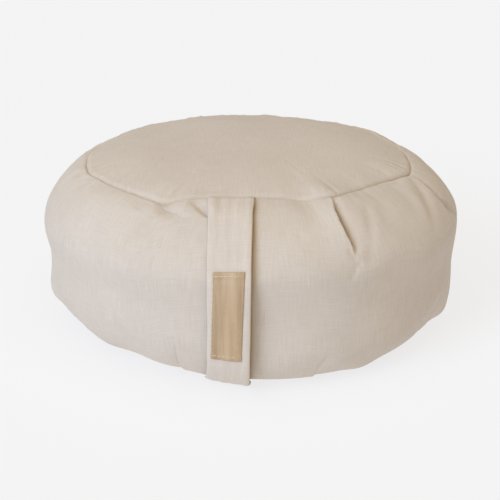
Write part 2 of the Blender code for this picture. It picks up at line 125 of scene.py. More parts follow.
# Soft folds and creases of the wall. Each follows a path of points (azimuth, distance down), is at its
# strongest at a share of it, and has its own width to the west and to the east. A negative lift is a
# trough.
DRAGS = table(
    "path peak lift west east",
    # The front left fold's shadow, and the small fold beside the strap with its lip
    (((-29, -0.006), (-25.8, 0.0118), (-21.8, 0.0205), (-17.5, 0.03)), 0.42, -0.003, 0.0085, 0.0052),
    (((-20, 0.0), (-17.2, 0.0105), (-13, 0.023), (-12, 0.028)), 0.66, -0.0046, 0.0032, 0.0018),
    (((-16.5, 0.0), (-13.5, 0.01), (-10.5, 0.023)), 0.45, 0.0016, 0.003, 0.003),
    (((-28.0, 0.014), (-32.3, 0.0384), (-37.5, 0.062)), 0.45, -0.003, 0.0042, 0.0075),
    (((-28.5, 0.022), (-24.5, 0.047)), 0.5, -0.0009, 0.0045, 0.0045),
    (((-33.5, 0.01), (-40, 0.05)), 0.4, 0.001, 0.006, 0.006),
    # The front right pleat's dark side, and the folds that run from it
    (
        ((27.3, -0.004), (26.9, 0.004), (26.3, 0.01), (25, 0.02))
        + ((24.7, 0.031), (25.1, 0.043), (26.4, 0.058)),
        *(0.62, -0.008, 0.001, 0.0042),
    ),
    (((36, 0.018), (31, 0.062)), 0.4, -0.0011, 0.005, 0.005),
    (((38.5, 0.02), (34, 0.062)), 0.4, 0.0006, 0.006, 0.006),
    (((20, 0.006), (15, 0.04)), 0.4, -0.0008, 0.006, 0.006),
    # The creases of the right corner: one runs to the outline, and a soft one hangs beside it
    (((71.5, -0.002), (71, 0.0194), (71.5, 0.0367), (77, 0.056), (82, 0.07)), 0.5, -0.0048, 0.0085, 0.0016),
    (((67, 0.002), (65.2, 0.0172), (62, 0.0334), (58.2, 0.0483), (54, 0.07)), 0.4, -0.0022, 0.005, 0.007),
    (((61.0, 0.006), (54.0, 0.06)), 0.4, 0.0012, 0.006, 0.006),
    # Softer folds all round
    (((-72, 0.004), (-80, 0.045)), 0.4, -0.0006, 0.006, 0.006),
    (((102, 0.004), (96, 0.05)), 0.4, -0.001, 0.006, 0.006),
    (((-121, 0.004), (-128, 0.05)), 0.4, -0.001, 0.006, 0.006),
    (((142, 0.004), (136, 0.055)), 0.4, -0.001, 0.007, 0.007),
    (((-167, 0.004), (-174, 0.055)), 0.4, -0.001, 0.007, 0.007),
)

# Swellings and hollows of the wall
BULGES = table(
    "azimuth down lift width",
    (-76, 0.133, 0.005, 0.014),
    (-60, 0.147, -0.0018, 0.009),
    (-48, 0.162, 0.0022, 0.016),
    (33, 0.178, 0.0024, 0.014),
    (55, 0.152, -0.002, 0.008),
    (71, 0.148, 0.0026, 0.01),
)

# Lumps of the top panel near its seam
TUFTS = table(
    "east north lift width",
    (0.055, -0.117, 0.0018, 0.013),
    (-0.08, -0.112, 0.0012, 0.016),
    (0.12, -0.052, 0.0014, 0.018),
)

# Where the cloth rolls over the seam: azimuth and width in degrees, and how much of it is hidden
ROLLED = table(
    "azimuth width share",
    (21.5, 4.5, 1.0),
    (-91, 9, 0.6),
    (-110, 9, 1.0),
)

# Waves of the seam line, and of the small gathers beside it: turns round it, phase in degrees, and size
SEAM_WAVES = table("turns phase size", (23, 40, 0.00016), (37, 110, 0.00012), (61, 250, 0.00008))
SEAM_WAVE_SHIFT = 55  # from the waves of its radius to those of its height, in degrees
PUCKERS = table("turns phase size", (83, 30, 1.0), (131, 200, 0.7))
PUCKER_SIZE = 0.00016
PUCKER_WIDTH = 0.006
PUCKER_SHIFT = 3  # from the wall's to the top panel's, in degrees
# Lumps of the filling: turns round the cover, waves down it, two phases, and size
LUMPS = table(
    "turns rows phase row_phase size",
    (5, 1.5, 20, 70, 0.0006),
    (9, 2.5, 140, 10, 0.0005),
    (14, 3.5, 265, 130, 0.0004),
    (23, 5.0, 80, 200, 0.00025),
)
LUMPS_FROM_SEAM = 0.03
LUMPS_FROM_FLOOR = 0.02
PANEL_WAVE_SIZE = 0.0006

# The seam: a narrow line in a soft hollow, with the panel's lip beside it
SEAM_DEPTH = 0.0012
SEAM_WIDTH = 0.001
SEAM_SHOULDER = 0.001
SEAM_SHOULDER_WIDTH = 0.0025
CREASE_DEPTH = 0.0095  # of a fold that gets the full painted shade
SEAM_SHADE = 0.18  # how much of that painted shade the seam has
RIM_HEIGHT = 0.0004
RIM_PLACE = 0.004
RIM_WIDTH = 0.002

# The mesh of the cover, and the tables of the wall's profiles that it is read from
COLUMNS_PER_PLEAT = 54
COLUMN_CROWDING = 0.75
CROWN_RINGS = 44
CROWN_CROWDING = 1.9
WALL_RINGS = 140
WALL_CROWDING = 1.3
BOTTOM_RINGS = 8
TABLE_AZIMUTHS = 1440
TABLE_SHARES = 420
PROFILE_STEPS = 20
SLOPE_STEP = 0.004  # share of the way down over which the slope is measured
WEAVE_RADIUS = 0.19  # at which the weave is unrolled

# The cloth simulation of the cover, on a part of its rings and columns: how firmly the sewing holds it
# is set by rings from the seam and by height, and of what it moves only the small folds are kept
SETTLE_RINGS = 3
SETTLE_COLUMNS = 4
SETTLE_FRAMES = 20
SETTLE_EASE = 0.010  # how much larger the cloth is cut than the cushion
SEWN_RINGS = 2.5
SEWN_FLOOR = 0.03
BROAD_SPREAD = (4, 6)  # rings and columns over which the broad swelling is averaged
FOLD_SHARE = 0.6
FOLD_CAP = 0.0016
CROWN_FOLDS = 0.4  # their size on the top panel, beside those of the wall
FOLD_FROM_SEAM = 9.0  # rings over which the folds grow from nothing at the seam
STRAP_MARGIN = 0.012

# The strap and the label
STRAP_THICKNESS = 0.0018
STRAP_TOP = 0.0022
STRAP_BOTTOM = 0.190
STRAP_ROWS = 150
STRAP_SIDES = 24
STRAP_GAP = 0.0003
STRAP_WANDER = 0.00018
STRAP_EDGE_FALL = 0.00035
EASE_ROWS = 4  # rows of the strap over which it spans the cover's hollows
EASE_FROM_SEAM = 0.012
FLOOR_GAP = 0.0002
UNDER = -0.05  # the outward slope from which the strap lies over the floor
EDGE_ROUND = 0.05  # how far a band's edges round off, beside half its width
EDGE_STEPS = 5
EDGE_SHADE = 0.7  # painted shade of the east edge, which faces the cover's shade
# How the strap hangs: distance down it, gaps behind its edges, width, and place east of the middle
SLACKS = table(
    "down west_gap east_gap width east",
    (0.0, -0.0012, -0.0012, 0.0382, -0.0157),
    (0.01, 0.0, 0.0006, 0.0372, -0.016),
    (0.03, 0.0002, 0.0022, 0.0354, -0.0165),
    (0.075, 0.001, 0.0046, 0.0342, -0.017),
    (0.118, 0.0045, 0.008, 0.0338, -0.0174),
    (0.15, 0.005, 0.0084, 0.034, -0.0181),
    (0.175, 0.0016, 0.005, 0.0354, -0.019),
    (0.19, 0.0003, 0.0012, 0.0382, -0.0194),
)
# Soft ridges along the strap, where its turned-in edges lie: place across it from -1 to 1, and height
STRAP_RIDGES = table(
    "across height width",
    (-0.74, 0.0004, 0.12),
    (-0.2, 0.0005, 0.16),
    (0.28, 0.0004, 0.12),
    (0.64, -0.0004, 0.04),
    (0.8, 0.0003, 0.14),
)
MAP_EAST = 0.3  # keeps the strap's weave off the cover's
# The warm painted shadow on the cover beside the strap's east edge: its depth, its width, how far it
# reaches under the strap, and the distances over which it starts at the top, at the bottom and at the front
STRAP_SHADE = 0.9
STRAP_SHADE_WIDTH = 0.0018
STRAP_SHADE_UNDER = -0.02
HUNG_FROM = 0.02
HUNG_TO = 0.004
HUNG_FRONT = 0.1
SHADES = ("crease", "past_strap", "hung")  # the attributes from which the linen paints its shade
LABEL_THICKNESS = 0.0007
LABEL_GAP = 0.0001
LABEL_ROWS = 72
LABEL_SIDES = 16
LABEL_CURL = 0.0005  # of its east edge
LABEL_CURL_POWER = 5
LABEL_CURL_FROM = 0.012
LABEL_WAVE = 0.00022
LABEL_RIPPLE = 0.00010
LABEL_HEM = 0.0040  # how far its turned ends reach
LABEL_HEM_STEP = 0.0006
LABEL_HEM_HEIGHT = 0.0006
SHINE_WIDTH = 0.031  # of the painted band of shine down the label, lighter in colour and smoother, with its fall to both sides
SHINE_ASIDE = 0.002
# The label's two sewn ends
LABEL_TOP, LABEL_BOTTOM = table("height width east", (0.1085, 0.0246, -0.0173), (0.039, 0.024, -0.02))
STITCH_LENGTH = 0.0032
STITCH_GAP = 0.0006
STITCH_INSET = 0.0026
EDGE_STITCHES = -0.97  # the place across the label of those down its edge
EDGE_STITCH_ROWS = 5
STITCH_RADIUS = 0.00028
STITCH_SIDES = 8

YARN_PITCH = 0.00085  # of the linen
RIB_PITCH = 0.00045  # of the label's satin
WHITE = (1.0, 1.0, 1.0)

# The studio's lights, with their angles in degrees
LIGHTS = table(
    "name azimuth elevation strength spread colour",
    ("key", -46.0, 26.0, 1.54, 34.0, (0.78, 1.0, 1.36)),
    ("top", 0.0, 75.0, 1.43, 80.0, (1.04, 0.98, 0.79)),
)
LIGHT_DISTANCE = 3.0


def turn_between(azimuth, other):
    """The turn from one azimuth to another, from -180 to 180 degrees."""
    return (other - azimuth + 180) % 360 - 180


def bell(distance, width):
    """A bell curve, which is 1 at no distance."""
    return np.exp(-((distance / width) ** 2))


def smooth(share):
    """A share from 0 to 1, eased at both ends."""
    share = np.clip(share, 0.0, 1.0)
    return share * share * (3 - 2 * share)


def round_table(rows, column, azimuth):
    """A column of a table of azimuth rows, read smoothly round the cover."""
    found = np.zeros_like(azimuth)
    for row, following in zip(rows, rows[1:] + rows[:1]):
        span = turn_between(row.azimuth, following.azimuth) % 360
        passed = turn_between(row.azimuth, azimuth) % 360
        share = smooth(passed / span)
        value = getattr(row, column) * (1 - share) + getattr(following, column) * share
        found = np.where(passed < span, value, found)
    return found


def seam_chord(azimuth):
    """The radius of the chords between the top seam's corners, with their bows."""
    found = np.zeros_like(azimuth)
    for first, second in zip(PLEATS, PLEATS[1:] + PLEATS[:1]):
        span = turn_between(first.azimuth, second.azimuth) % 360
        passed = turn_between(first.azimuth, azimuth) % 360
        turn, here = math.radians(span), np.radians(passed)
        across = first.radius * second.radius * math.sin(turn)
        along = first.radius * np.sin(here) + second.radius * np.sin(turn - here)
        bow = first.bow * np.sin(math.pi * passed / span)
        value = across / np.where(abs(along) < TINY, 1.0, along) + bow
        found = np.where(passed < span, value, found)
    return found


def waves(rows, azimuth):
    return sum(row.size * np.sin(np.radians(row.turns * azimuth + row.phase)) for row in rows)


def seam_radius(azimuth):
    steps = (-1.0, -0.5, 0.0, 0.5, 1.0)
    rounded = sum(seam_chord(azimuth + CORNER_SOFTNESS * step) for step in steps) / len(steps)
    return rounded + waves(SEAM_WAVES, azimuth)


def seam_height(azimuth):
    return round_table(HEMS, "height", azimuth) - waves(SEAM_WAVES, azimuth + SEAM_WAVE_SHIFT)


def profile_tables():
    """The wall's radius and height by azimuth and by share of the way down, and its whole length."""
    azimuth = np.arange(TABLE_AZIMUTHS) * 360 / TABLE_AZIMUTHS - 180.0
    seam, top = seam_radius(azimuth)[:, None], seam_height(azimuth)[:, None]
    columns = [round_table(SECTIONS, name, azimuth)[:, None] for name in SECTIONS[0]._fields[1:]]
    shoulder, belly, foot, turn, tuck, heel = columns
    quarter = np.linspace(0, math.pi / 2, PROFILE_STEPS + 1)[None, :]
    radii = [seam + (belly - seam) * np.sin(quarter) ** (2 / shoulder)]
    heights = [BELLY_HEIGHT + (top - BELLY_HEIGHT) * np.cos(quarter) ** (2 / shoulder)]
    share = np.linspace(0, 1, PROFILE_STEPS + 1)[None, 1:-1]
    radii.append(belly + (foot - belly) * smooth(share * DRAW_IN))
    heights.append(BELLY_HEIGHT + (turn - BELLY_HEIGHT) * share)
    radii.append(foot - tuck * (1 - np.cos(quarter) ** (2 / heel)))
    heights.append(turn * (1 - np.sin(quarter) ** (2 / heel)))
    radii.append(np.full_like(seam, FLAT_RADIUS))
    heights.append(np.zeros_like(seam))
    radii, heights = np.hstack(radii), np.hstack(heights)
    steps = np.hypot(np.diff(radii, axis=1), np.diff(heights, axis=1))
    lengths = np.hstack([np.zeros_like(seam), np.cumsum(steps, axis=1)])
    shares = np.linspace(0, 1, TABLE_SHARES)
    by_share = [
        np.array([np.interp(shares * length[-1], length, value) for length, value in zip(lengths, values)])
        for values in (radii, heights)
    ]
    return by_share[0], by_share[1], lengths[:, -1]


RADII, HEIGHTS, LENGTHS = profile_tables()


def read_table(table, azimuth, share):
    """A profile table read between its cells."""
    column = ((azimuth + 180) % 360) / 360 * TABLE_AZIMUTHS
    left = np.floor(column).astype(int) % TABLE_AZIMUTHS
    right, across = (left + 1) % TABLE_AZIMUTHS, column - np.floor(column)
    if table.ndim == 1:
        return table[left] * (1 - across) + table[right] * across
    row = np.clip(share, 0, 1) * (TABLE_SHARES - 1)
    above = np.clip(np.floor(row).astype(int), 0, TABLE_SHARES - 2)
    down = row - above
    first = table[left, above] * (1 - down) + table[left, above + 1] * down
    second = table[right, above] * (1 - down) + table[right, above + 1] * down
    return first * (1 - across) + second * across


def fold_azimuth(pleat, down):
    """Where a pleat's fold runs, on its way down to its partner in the bottom seam."""
    leant = pleat.azimuth + pleat.lean * np.minimum(1.0, down / pleat.bend) ** LEAN_POWER
    leant = leant + pleat.sway * np.minimum(1.0, down / pleat.reach) ** SWAY_POWER
    below = smooth((down - pleat.reach) / (BOTTOM_START - pleat.reach))
    return leant + turn_between(leant, pleat.partner) * below


def fold_shape(across, lap, lip, valley):
    """A fold's lift and push round, at a distance across it. Its lip lies over its valley."""
    ahead = across * math.copysign(1.0, lap)
    under = ahead <= 0.0
    raised = lip * np.exp(np.minimum(ahead, 0) / LIP_WIDTH)
    sunk = -valley * np.exp(-np.maximum(ahead, 0) / VALLEY_WIDTH)
    lift = np.where(under, raised, sunk)
    push = np.where(under, 1.0, -1.0) * lap * LAP_LENGTH * np.exp(-abs(across) / LAP_WIDTH)
    return lift, push


def fold_fade(share, peak):
    """A fold's strength along it: full at its peak, and nothing at its two ends."""
    inside = np.clip(share, 0.0, 1.0)
    strength = np.sin(math.pi * inside ** (math.log(0.5) / math.log(peak)))
    return np.where((share > 0) & (share < 1), strength, 0.0)


def folds(azimuth, radius, down, length):
    """The lift and the push round of the folds at points of the wall."""
    lift, push = np.zeros_like(azimuth), np.zeros_like(azimuth)
    for pleat in PLEATS:
        across = np.radians(turn_between(fold_azimuth(pleat, down), azimuth)) * radius
        for fade, lip, valley in (
            (fold_fade(down / pleat.reach, pleat.peak), pleat.lip, pleat.valley),
            (fold_fade((length - down) / (length - BOTTOM_START), BOTTOM_PEAK), BOTTOM_LIP, BOTTOM_VALLEY),
        ):
            raised, pushed = fold_shape(across, pleat.lap, lip, valley)
            lift, push = lift + raised * fade, push + pushed * fade
    for drag in DRAGS:
        azimuths, downs = zip(*drag.path)
        across = np.radians(turn_between(np.interp(down, downs, azimuths), azimuth)) * radius
        width = np.where(across < 0, drag.west, drag.east)
        fade = fold_fade((down - downs[0]) / (downs[-1] - downs[0]), drag.peak)
        lift = lift + drag.lift * fade * bell(across, width)
    for bulge in BULGES:
        across = np.radians(turn_between(bulge.azimuth, azimuth)) * radius
        away = (across**2 + (down - bulge.down) ** 2) / bulge.width**2
        lift = lift + bulge.lift * np.exp(-away)
    return lift, push


def lumps(azimuth, share):
    """The lift of the filling's lumps at points of the wall."""
    downs = [np.sin(np.radians(360 * row.rows * share + row.row_phase)) for row in LUMPS]
    return sum(waves([row], azimuth) * down for row, down in zip(LUMPS, downs))


def pucker(azimuth, distance):
    """The small gathers that a seam pulls into the cloth beside it."""
    gathers = PUCKER_SIZE * waves(PUCKERS, azimuth)
    return gathers * (distance / PUCKER_WIDTH) * np.exp(1 - distance / PUCKER_WIDTH)


def seam_shown(azimuth):
    """How open the seam is, from 1 to 0 where the cloth rolls over it."""
    return 1.0 - sum(row.share * bell(turn_between(row.azimuth, azimuth), row.width) for row in ROLLED)


def seam_lift(azimuth, distance):
    groove = SEAM_DEPTH * np.exp(-distance / SEAM_WIDTH)
    shoulder = SEAM_SHOULDER * np.exp(-distance / SEAM_SHOULDER_WIDTH)
    return -(groove + shoulder) * seam_shown(azimuth)


def placed(azimuth, radius, height, push=0.0):
    """Points by azimuth, radius and height, each pushed round by a distance."""
    turn = np.radians(azimuth)
    east = np.sin(turn) * radius + np.cos(turn) * push
    north = -np.cos(turn) * radius + np.sin(turn) * push
    return np.stack([east, north, height], axis=-1)


def wall_points(azimuth, share):
    """Points of the wall, by azimuth and share of the way down, with their distances down and the folds'
    lifts."""
    radius, height, length = (read_table(table, azimuth, share) for table in (RADII, HEIGHTS, LENGTHS))
    above, below = share - SLOPE_STEP, share + SLOPE_STEP
    run, rise = (
        read_table(table, azimuth, below) - read_table(table, azimuth, above) for table in (RADII, HEIGHTS)
    )
    size = np.maximum(np.hypot(rise, run), TINY)
    out, up = -rise / size, run / size
    down = share * length
    folded, push = folds(azimuth, radius, down, length)
    lift = folded + seam_lift(azimuth, down) + pucker(azimuth, down)
    lift = lift + lumps(azimuth, share) * smooth(down / LUMPS_FROM_SEAM) * smooth(height / LUMPS_FROM_FLOOR)
    points = placed(azimuth, radius + out * lift, np.maximum(0.0, height + up * lift), push)
    return points, down, folded


def crease_depth(azimuth, folded, distance):
    """How deep in a fold or in the seam a point is, from 0 to 1, which sets the painted shade there."""
    in_seam = SEAM_SHADE * seam_shown(azimuth) * bell(distance, SEAM_WIDTH)
    return np.maximum(np.clip(-folded / CREASE_DEPTH, 0, 1) ** 2, in_seam)


def wall_shades(points, azimuth, down, folded):
    """What the linen reads at points of the wall to paint shade: their crease depth, how far east of the
    strap's east edge they are, and how much of the strap hangs there."""
    edge = slack_at("east", down) + slack_at("width", down) / 2
    hung = smooth(down / HUNG_FROM) * smooth((STRAP_BOTTOM - down) / HUNG_TO)
    hung = hung * smooth(-points[..., 1] / HUNG_FRONT)
    return np.stack([crease_depth(azimuth, folded, down), points[..., 0] - edge, hung], axis=-1)


def dome_height(radius):
    return MIDDLE_HEIGHT + CROWN_HEIGHT * (1 - (radius / CROWN_RADIUS) ** CROWN_POWER)


def panel_waves(east, north):
    """Soft waves of the top panel."""
    crossed = np.sin(31 * east + 1.3) * np.sin(27 * north + 0.4)
    return crossed + 0.6 * np.sin(58 * east + 19 * north + 2.0)


def crown_points(azimuth, share):
    """Points of the top panel, by azimuth and by share of the way out, with how far the seam is."""
    edge = seam_radius(azimuth)
    drop = dome_height(edge) - seam_height(azimuth)
    distance = (1 - share) * edge
    height = dome_height(edge * share) - drop * share**CROWN_EDGE_POWER
    height = height + seam_lift(azimuth, distance) + pucker(azimuth + PUCKER_SHIFT, distance)
    height = height + RIM_HEIGHT * bell(distance - RIM_PLACE, RIM_WIDTH)
    points = placed(azimuth, edge * share, height)
    east, north = points[..., 0], points[..., 1]
    points[..., 2] += PANEL_WAVE_SIZE * panel_waves(east, north) * (1 - share**6)
    for tuft in TUFTS:
        away = ((east - tuft.east) ** 2 + (north - tuft.north) ** 2) / tuft.width**2
        points[..., 2] += tuft.lift * np.exp(-away)
    return points, distance


def column_azimuths(down):
    """The azimuths of the mesh's columns at distances down the wall. They follow the folds."""
    even = np.arange(COLUMNS_PER_PLEAT) / COLUMNS_PER_PLEAT
    crowded = even - COLUMN_CROWDING * np.sin(2 * math.pi * even) / (2 * math.pi)
    blocks = []
    for index, pleat in enumerate(PLEATS):
        following = PLEATS[(index + 1) % len(PLEATS)]
        start, end = fold_azimuth(pleat, down), fold_azimuth(following, down)
        blocks.append(start[:, None] + (turn_between(start, end) % 360)[:, None] * crowded[None, :])
    return np.hstack(blocks)


def cover_grid():
    """The cover's rings of points, from near the crown's middle to near the underside's, with the
    wall's map, the number of rings on the crown, and the shades at each point."""
    average = float(LENGTHS.mean())
    crown = 1 - (1 - np.linspace(0, 1, CROWN_RINGS + 1)[1:-1]) ** CROWN_CROWDING
    azimuth = column_azimuths(np.zeros(len(crown)))
    points, distance = crown_points(azimuth, crown[:, None] + 0 * azimuth)
    none = 0 * distance
    rings, shades = [points], [np.stack([crease_depth(azimuth, none, distance), none, none], axis=-1)]
    wall = np.linspace(0, 1, WALL_RINGS + 1) ** WALL_CROWDING
    azimuth = column_azimuths(wall * average)
    points, down, folded = wall_points(azimuth, wall[:, None] + 0 * azimuth)
    rings.append(points)
    shades.append(wall_shades(points, azimuth, down, folded))
    unrolled = np.stack([np.radians(np.unwrap(azimuth, axis=1, period=360)) * WEAVE_RADIUS, -down], axis=-1)
    inner = np.linspace(1, 0, BOTTOM_RINGS + 1)[1:-1]
    azimuth = column_azimuths(np.full(len(inner), average))
    rings.append(placed(azimuth, FLAT_RADIUS * inner[:, None] + 0 * azimuth, 0 * azimuth))
    shades.append(np.zeros((*azimuth.shape, len(SHADES))))
    return np.vstack(rings), unrolled, len(crown), np.vstack(shades)


def grid_quads(rings, columns):
    """The corners (ring, column) of the quads between closed rings of points."""
    for ring in range(rings - 1):
        for column in range(columns):
            after = (column + 1) % columns
            yield (ring, column), (ring + 1, column), (ring + 1, after), (ring, after)


def grid_faces(rings, columns):
    """The quads between rings of points as faces, with a fan at each end."""
    faces = [[ring * columns + column for ring, column in quad] for quad in grid_quads(rings, columns)]
    top, bottom, last = rings * columns, rings * columns + 1, (rings - 1) * columns
    for column in range(columns):
        after = (column + 1) % columns
        faces += [[top, column, after], [bottom, last + after, last + column]]
    return faces


def closed_points(grid):
    """A grid's points, with the middles of the top panel and of the underside."""
    return np.vstack([grid.reshape(-1, 3), [[0, 0, dome_height(0.0)], [0, 0, 0]]])


def linked(name, data):
    """A new object in the scene."""
    made = bpy.data.objects.new(name, data)
    bpy.context.scene.collection.objects.link(made)
    return made


def settled(grid, sewn):
    """How far a cloth moves from a grid under the filling's pressure, held where it is sewn."""
    scene = bpy.context.scene
    rings, columns = grid.shape[:2]
    points = closed_points(grid)
    mesh = bpy.data.meshes.new("settling")
    mesh.from_pydata(points.tolist(), [], grid_faces(rings, columns))
    cover = linked("settling", mesh)
    group = cover.vertex_groups.new(name="sewn")
    for index, firmness in enumerate(np.append(sewn.reshape(-1), [0.0, 1.0])):
        group.add([index], float(firmness), "REPLACE")
    cloth = cover.modifiers.new("cloth", "CLOTH").settings
    cloth.quality = 6
    cloth.mass = 0.15
    cloth.tension_stiffness = cloth.compression_stiffness = 12.0
    cloth.shear_stiffness = 4.0
    cloth.bending_stiffness = 0.4
    cloth.shrink_min = -SETTLE_EASE
    cloth.use_pressure = True
    cloth.uniform_pressure_force = 4.0
    cloth.vertex_group_mass = "sewn"
    cloth.effector_weights.gravity = 0.0
    for number in range(1, SETTLE_FRAMES + 1):
        scene.frame_set(number)
    result = cover.evaluated_get(bpy.context.evaluated_depsgraph_get()).to_mesh()
    after = np.zeros(len(points) * 3)
    result.vertices.foreach_get("co", after)
    scene.frame_set(1)
    bpy.data.objects.remove(cover)
    bpy.data.meshes.remove(mesh)
    return (after.reshape(-1, 3) - points)[:-2].reshape(rings, columns, 3)


def broad_part(moved):
    """The broad swelling in what a simulation moved: its mean over the rings and columns near by."""
    rings, columns = BROAD_SPREAD
    padded = np.pad(moved, ((rings, rings), (0, 0), (0, 0)), mode="edge")
    summed = sum(padded[step : step + len(moved)] for step in range(2 * rings + 1)) / (2 * rings + 1)
    return sum(np.roll(summed, step, axis=1) for step in range(-columns, columns + 1)) / (2 * columns + 1)


def refined(coarse, rings, columns):
    """A coarse grid's values, read at every ring and column of the whole grid."""
    closed = np.concatenate([coarse, coarse[:, :1]], axis=1)
    ring, column = np.arange(rings) / SETTLE_RINGS, np.arange(columns) / SETTLE_COLUMNS
    above, left = np.minimum(ring.astype(int), len(coarse) - 2), column.astype(int)
    down, across = np.minimum(ring - above, 1.0)[:, None, None], (column - left)[None, :, None]
    rows = closed[above] * (1 - down) + closed[above + 1] * down
    return rows[:, left] * (1 - across) + rows[:, left + 1] * across


def small_folds(grid, crown_rings, past):
    """What the simulation adds to the cover: small folds in its cloth, but none at the seam, at the
    underside or behind the strap."""
    from_seam = np.abs(np.arange(len(grid)) - crown_rings)[:, None]
    low = smooth((SEWN_FLOOR - grid[..., 2]) / SEWN_FLOOR)
    sewn = np.clip(bell(from_seam, SEWN_RINGS) + low, 0, 1)
    moved = settled(grid[::SETTLE_RINGS, ::SETTLE_COLUMNS], sewn[::SETTLE_RINGS, ::SETTLE_COLUMNS])
    folded = FOLD_SHARE * refined(moved - broad_part(moved), *grid.shape[:2])
    length = np.linalg.norm(folded, axis=-1, keepdims=True)
    folded *= np.minimum(1.0, FOLD_CAP / np.maximum(length, TINY))
    folded[:crown_rings] *= CROWN_FOLDS
    past_west = past + SLACKS[0].width + STRAP_MARGIN
    behind = smooth(past_west / STRAP_MARGIN) * smooth((STRAP_MARGIN - past) / STRAP_MARGIN)
    behind *= (grid[..., 1] < 0) & (np.arange(len(grid))[:, None] >= crown_rings)
    return folded * (smooth(from_seam / FOLD_FROM_SEAM) * (1 - low) * (1 - behind))[..., None]


def cover_mesh():
    """The cover as one closed mesh of quads, with a map in metres that follows its weave."""
    grid, unrolled, crown_rings, shades = cover_grid()
    grid = grid + small_folds(grid, crown_rings, shades[..., SHADES.index("past_strap")])
    rings, columns = grid.shape[:2]
    flat, maps = grid[..., :2], []
    round_wall = np.array([2 * math.pi * WEAVE_RADIUS, 0.0])
    for ring in range(rings - 1):
        on_wall = crown_rings <= ring < crown_rings + WALL_RINGS
        upper, lower = unrolled[ring - crown_rings :][:2] if on_wall else flat[ring : ring + 2]
        for column in range(columns):
            after = (column + 1) % columns
            turn = round_wall if on_wall and after == 0 else 0.0
            maps += [upper[column], lower[column], lower[after] + turn, upper[after] + turn]
    for column in range(columns):
        after = (column + 1) % columns
        maps += [(0, 0), flat[0, column], flat[0, after], (0, 0), flat[-1, after], flat[-1, column]]
    cover = mesh_of("linen_cover", closed_points(grid).tolist(), grid_faces(rings, columns), maps)
    for which, name in enumerate(SHADES):
        add_shade(cover, name, np.append(shades[..., which].reshape(-1), [0.0, 0.0]))
    return cover


def mesh_of(name, points, faces, maps):
    """A smooth object of points and faces, with a map in metres called weave."""
    mesh = bpy.data.meshes.new(name)
    mesh.from_pydata(points, [], faces)
    layer = mesh.uv_layers.new(name="weave")
    layer.data.foreach_set("uv", np.array(maps, dtype=np.float32).reshape(-1))
    mesh.validate()
    mesh.update()
    mesh.shade_smooth()
    return linked(name, mesh)


def add_shade(made, name, values):
    """Give an object's points one of the attributes from which the linen paints its shade."""
    shade = made.data.attributes.new(name, "FLOAT", "POINT")
    shade.data.foreach_set("value", values.astype(np.float32))


def slack_at(column, down):
    """A column of the slack table at distances down the strap."""
    found = np.full_like(down, getattr(SLACKS[-1], column))
    for above, below in zip(SLACKS, SLACKS[1:]):
        first, second = getattr(above, column), getattr(below, column)
        value = first + (second - first) * smooth((down - above.down) / (below.down - above.down))
        found = np.where((down >= above.down) & (down < below.down), value, found)
    return found


def spread(values, rows, sides, pick):
    """Each value with its neighbours, picked by a function such as the greatest or the mean."""
    padded = np.pad(values, ((rows, rows), (sides, sides)), mode="edge")
    high, wide = values.shape
    starts = [(row, side) for row in range(2 * rows + 1) for side in range(2 * sides + 1)]
    return pick(np.array([padded[row : row + high, side : side + wide] for row, side in starts]), axis=0)


# A band of cloth by rows along it: distances, places (forward, height), outward directions, levels of
# its inner face, widths, and places east of the middle
Strip = namedtuple("Strip", "along place out seat widths easts")


def strap_strip():
    """The strap's run, down the cover and clear of it."""
    down = np.linspace(STRAP_TOP, STRAP_BOTTOM, STRAP_ROWS + 1)
    width, east = slack_at("width", down), slack_at("east", down)
    length = read_table(LENGTHS, np.zeros_like(down), down)
    radius = read_table(RADII, np.zeros_like(down), down / length)
    azimuth = np.degrees(np.arcsin(east / radius))
    share = down / read_table(LENGTHS, azimuth, down)
    radius, height = read_table(RADII, azimuth, share), read_table(HEIGHTS, azimuth, share)
    place = np.stack([np.sqrt(radius**2 - east**2), height], axis=1)
    tangent = np.gradient(place, axis=0)
    tangent /= np.linalg.norm(tangent, axis=1, keepdims=True)
    out = np.stack([-tangent[:, 1], tangent[:, 0]], axis=1)
    side = np.linspace(-1, 1, STRAP_SIDES + 1)
    across = east[:, None] + side[None, :] * width[:, None] / 2
    azimuth = np.degrees(np.arcsin(across / radius[:, None]))
    points = wall_points(azimuth, share[:, None] + 0 * azimuth)[0]
    forward = (-points[..., 1] - place[:, :1]) * out[:, :1]
    felt = forward + (points[..., 2] - place[:, 1:]) * out[:, 1:]
    eased = spread(spread(felt, EASE_ROWS, 1, np.max), EASE_ROWS, 1, np.mean)
    near_seam = smooth(down / EASE_FROM_SEAM)[:, None]
    eased = felt * (1 - near_seam) + eased * near_seam
    west_gap, east_gap = slack_at("west_gap", down)[:, None], slack_at("east_gap", down)[:, None]
    seat = eased + STRAP_GAP + west_gap + (east_gap - west_gap) * (side[None, :] + 1) / 2
    # Nothing hangs below the floor
    under = out[:, 1:] < UNDER
    low = (STRAP_THICKNESS + FLOOR_GAP - place[:, 1:]) / np.where(under, out[:, 1:], -1.0)
    seat = np.where(under, np.minimum(seat, low), seat)
    return Strip(down, place, out, seat, width, east)


